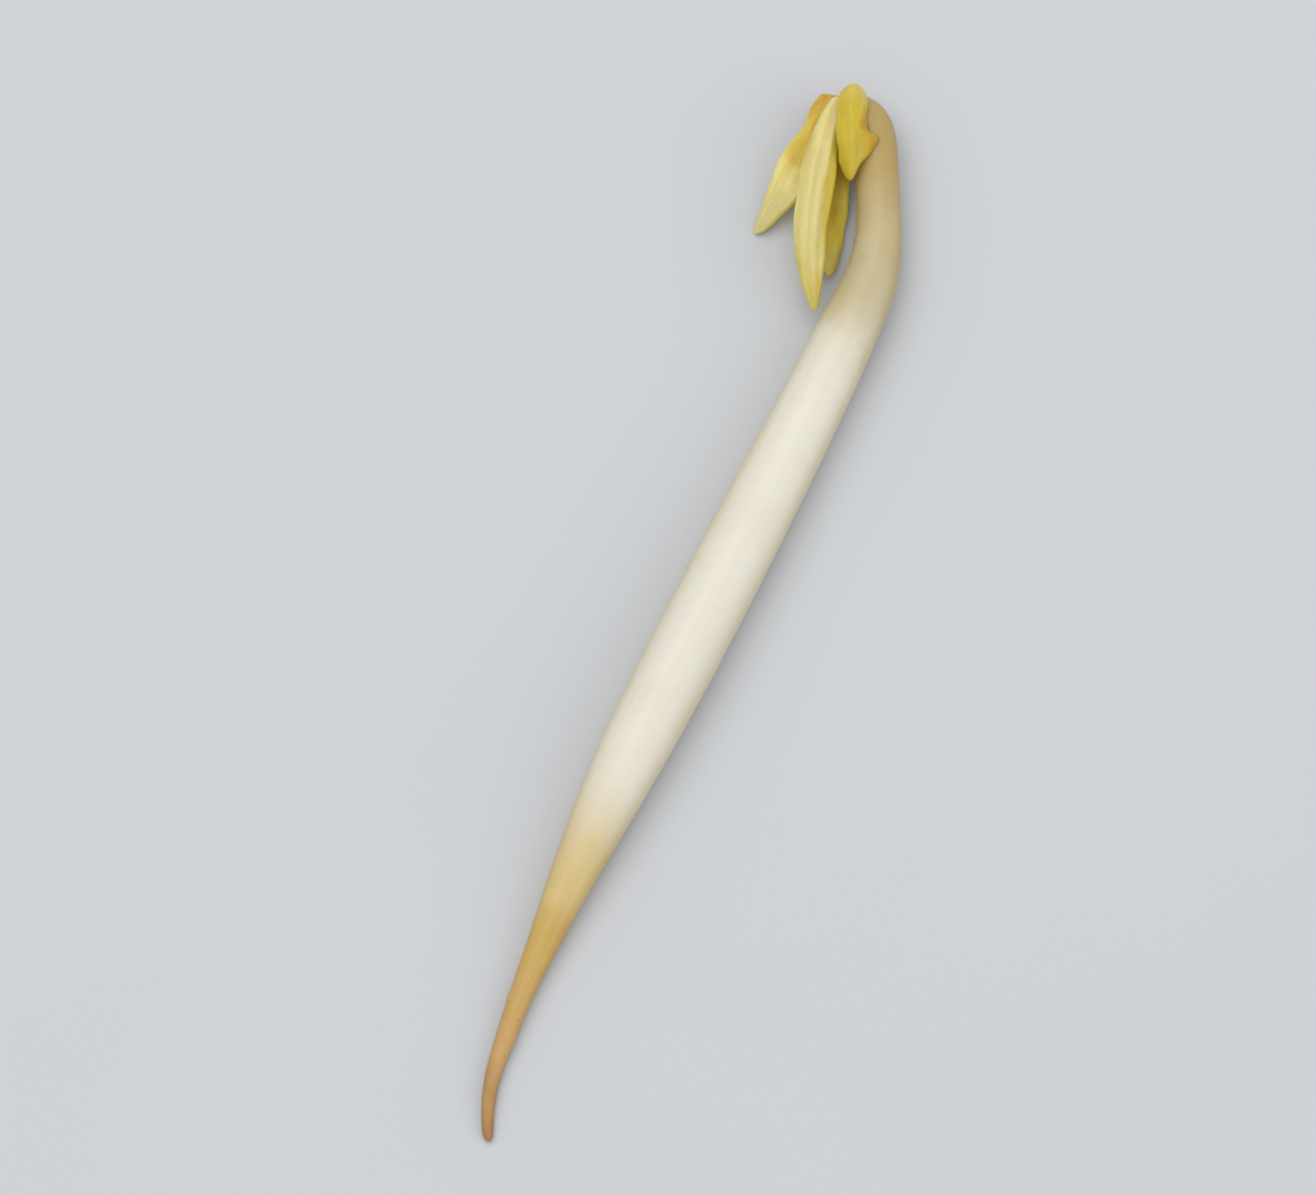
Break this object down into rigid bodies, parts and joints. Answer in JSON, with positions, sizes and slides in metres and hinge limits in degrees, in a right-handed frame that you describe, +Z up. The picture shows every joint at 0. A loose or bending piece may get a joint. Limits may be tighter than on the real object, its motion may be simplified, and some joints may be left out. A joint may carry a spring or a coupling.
{
  "type": "mung bean sprout",
  "caption": "Mung bean sprout lying down: pale stem tapering to a tan root, hooked neck, yellow cotyledons and narrow lemon-yellow first leaves.",
  "frame": {"origin": "on the surface the sprout lies on, under the middle of its bounding box", "axes": "+Y along the stem from the root to the head, +X to the side away from the leaves, +Z up from the surface"},
  "size_m": [0.0092, 0.056, 0.0042],
  "materials": {
    "stem": "moist cream-white plant tissue, tan towards the root",
    "cotyledon": "fleshy yellow plant tissue with a soft sheen",
    "first_leaf": "soft lemon-yellow young leaf"
  },
  "bodies": {
    "root": {"stem": "stem", "cotyledon_outer": "cotyledon", "cotyledon_inner": "cotyledon", "first_leaf_long": "first_leaf", "first_leaf_short": "first_leaf"}
  },
  "joints": []
}
